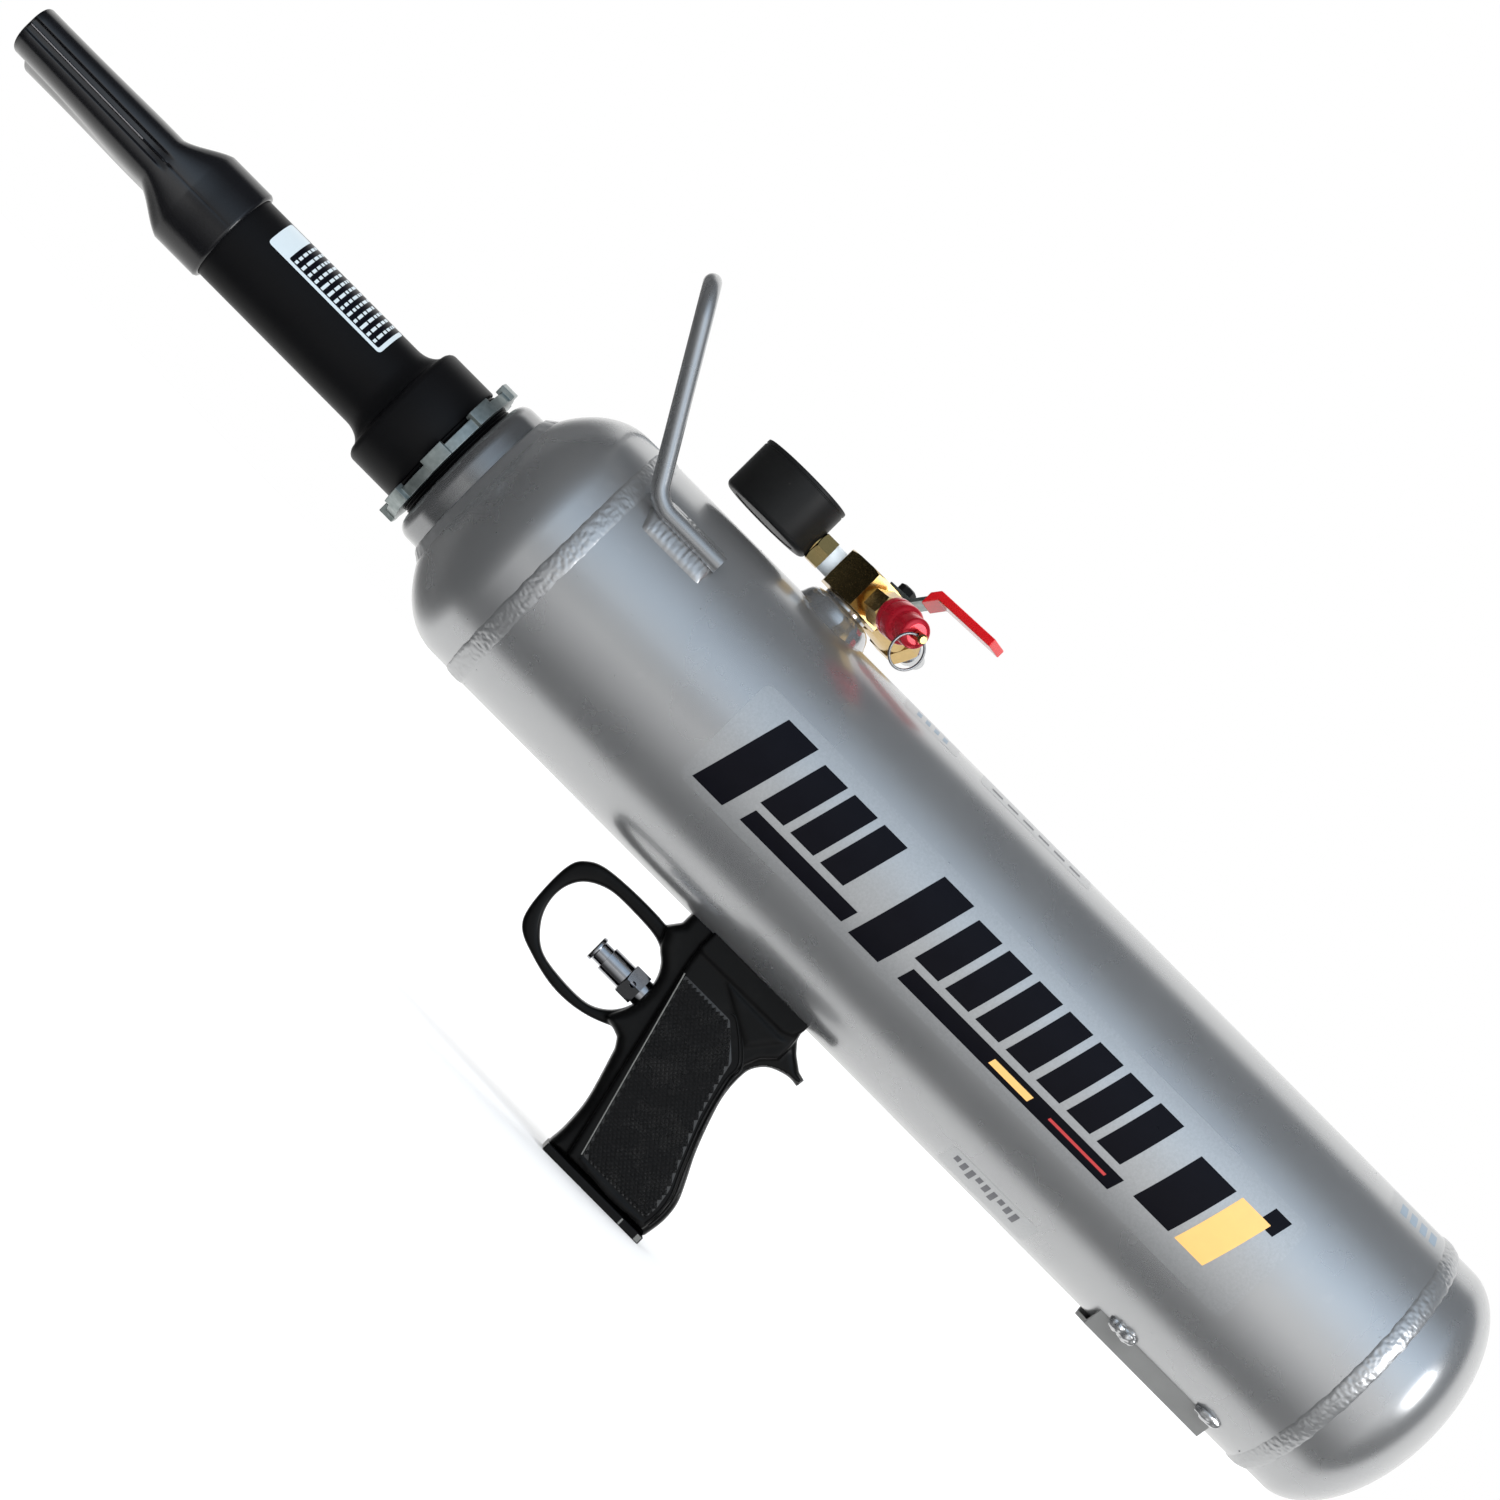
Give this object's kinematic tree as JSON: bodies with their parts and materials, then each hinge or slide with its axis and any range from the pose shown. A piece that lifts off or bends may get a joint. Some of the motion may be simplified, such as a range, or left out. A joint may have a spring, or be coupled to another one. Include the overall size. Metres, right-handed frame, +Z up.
{
  "type": "bead seater air tank",
  "caption": "Hand-held air tank that blows tyre beads onto a rim: trigger grip, carry loop, gauge, relief and ball valves, swivel barrel with a wide nozzle.",
  "frame": {"origin": "middle of the flat underside of the grip's butt plate", "axes": "+X along the tank towards the nozzle, +Z up from the grip to the carry handle, +Y to the left of a person aiming the nozzle"},
  "size_m": [0.817, 0.1337, 0.3038],
  "materials": {
    "tank_paint": "satin silver",
    "black_paint": "satin black",
    "black_cast": "semi-gloss black",
    "zinc": "bright zinc",
    "steel": "plain steel",
    "spring_steel": "drawn wire",
    "dark_chrome": "dark polished",
    "nickel": "nickel plated",
    "brass": "turned",
    "copper": "drawn tube",
    "red_anodised": "red anodised",
    "red_vinyl": "dipped vinyl",
    "black_plastic": "moulded",
    "grip_plastic": "checkered",
    "white_plastic": "smooth",
    "thread_tape": "wound tape",
    "dial_white": "printed dial",
    "lens": "clear",
    "rubber": "nitrile",
    "foot_grey": "satin grey",
    "piston_alloy": "turned"
  },
  "bodies": {
    "tank": {"tank_shell": "tank_paint", "front_head": "tank_paint", "rear_head": "tank_paint", "front_weld_bead": "tank_paint", "rear_weld_bead": "tank_paint", "neck_collar": "tank_paint", "neck_weld": "tank_paint", "inlet_bung": "tank_paint", "inlet_weld": "tank_paint", "grip_boss": "steel", "pilot_nipple": "steel", "grip_bolt": "steel", "foot_bracket": "foot_grey", "foot_welds": "tank_paint", "carry_handle": "tank_paint", "handle_welds": "tank_paint", "valve_cage": "steel", "valve_cap": "steel", "pilot_tube": "copper", "pilot_nuts": "brass", "piston_spring": "spring_steel", "manifold_block": "brass", "manifold_nipple": "brass", "gauge_case": "black_plastic", "gauge_stem": "brass", "gauge_tape": "thread_tape", "gauge_movement": "brass", "bourdon_tube": "copper", "gauge_dial": "dial_white", "gauge_lens": "lens", "safety_body": "brass", "safety_spring": "spring_steel", "safety_cap": "red_anodised", "ball_valve_body": "brass", "ball_seats": "white_plastic", "air_plug": "nickel", "grip_frame": "grip_plastic", "left_grip_panel": "grip_plastic", "right_grip_panel": "grip_plastic", "butt_plate": "black_plastic", "trigger_body": "dark_chrome", "trigger_spring": "spring_steel"},
    "barrel": {"barrel_tube": "black_paint", "barrel_seal": "rubber", "nozzle": "black_cast"},
    "lock_ring": {"lock_nut": "zinc"},
    "piston": {"main_piston": "piston_alloy", "piston_seal": "rubber", "piston_ring": "rubber"},
    "gauge_pointer": {"gauge_needle": "black_plastic"},
    "gauge_sector": {"sector_gear": "brass"},
    "relief_pin": {"safety_stem": "brass"},
    "ring_pull": {"pull_ring": "dark_chrome"},
    "valve_handle": {"valve_ball": "nickel", "valve_stem": "brass", "valve_lever": "zinc", "lever_sleeve": "red_vinyl", "lever_nut": "black_plastic"},
    "trigger": {"trigger_button": "dark_chrome", "trigger_seal": "rubber"}
  },
  "joints": [
    {"name": "barrel_swivel", "type": "hinge", "parent": "tank", "child": "barrel", "pos_m": [0.24, 0, 0.175], "axis": [1, 0, 0], "range_deg": [-180, 180]},
    {"name": "lock_nut_turn", "type": "hinge", "parent": "barrel", "child": "lock_ring", "pos_m": [0.259, 0, 0.175], "axis": [1, 0, 0], "range_deg": [0, 180]},
    {"name": "trigger_press", "type": "slide", "parent": "tank", "child": "trigger", "axis": [-1, 0, 0], "range_m": [0, 0.004], "stiffness_N_per_m": 1500, "springref_m": -0.003, "deforming": ["trigger_spring"]},
    {"name": "piston_slide", "type": "slide", "parent": "tank", "child": "piston", "axis": [-1, 0, 0], "range_m": [0, 0.012], "stiffness_N_per_m": 600, "springref_m": -0.02, "deforming": ["piston_spring"]},
    {"name": "ball_valve_turn", "type": "hinge", "parent": "tank", "child": "valve_handle", "pos_m": [0.0834, -0.02425, 0.2565], "axis": [0, 0, 1], "range_deg": [0, 90]},
    {"name": "sector_swing", "type": "hinge", "parent": "tank", "child": "gauge_sector", "pos_m": [0.1595, 0, 0.259], "axis": [0, 0, 1], "range_deg": [0, 67.5]},
    {"name": "needle_turn", "type": "hinge", "parent": "tank", "child": "gauge_pointer", "pos_m": [0.147, 0, 0.266], "axis": [0, 0, -1], "range_deg": [0, 270]},
    {"name": "safety_pull", "type": "slide", "parent": "tank", "child": "relief_pin", "axis": [-0.5, 0.866, 0], "range_m": [0, 0.003], "stiffness_N_per_m": 3000, "springref_m": -0.004, "deforming": ["safety_spring"]},
    {"name": "ring_swing", "type": "hinge", "parent": "relief_pin", "child": "ring_pull", "pos_m": [0.06815, 0.05066, 0.2565], "axis": [-0.866, -0.5, 0], "range_deg": [-90, 12]}
  ],
  "couplings": [
    {"joint": "needle_turn", "follows": "sector_swing", "ratio": 4}
  ]
}
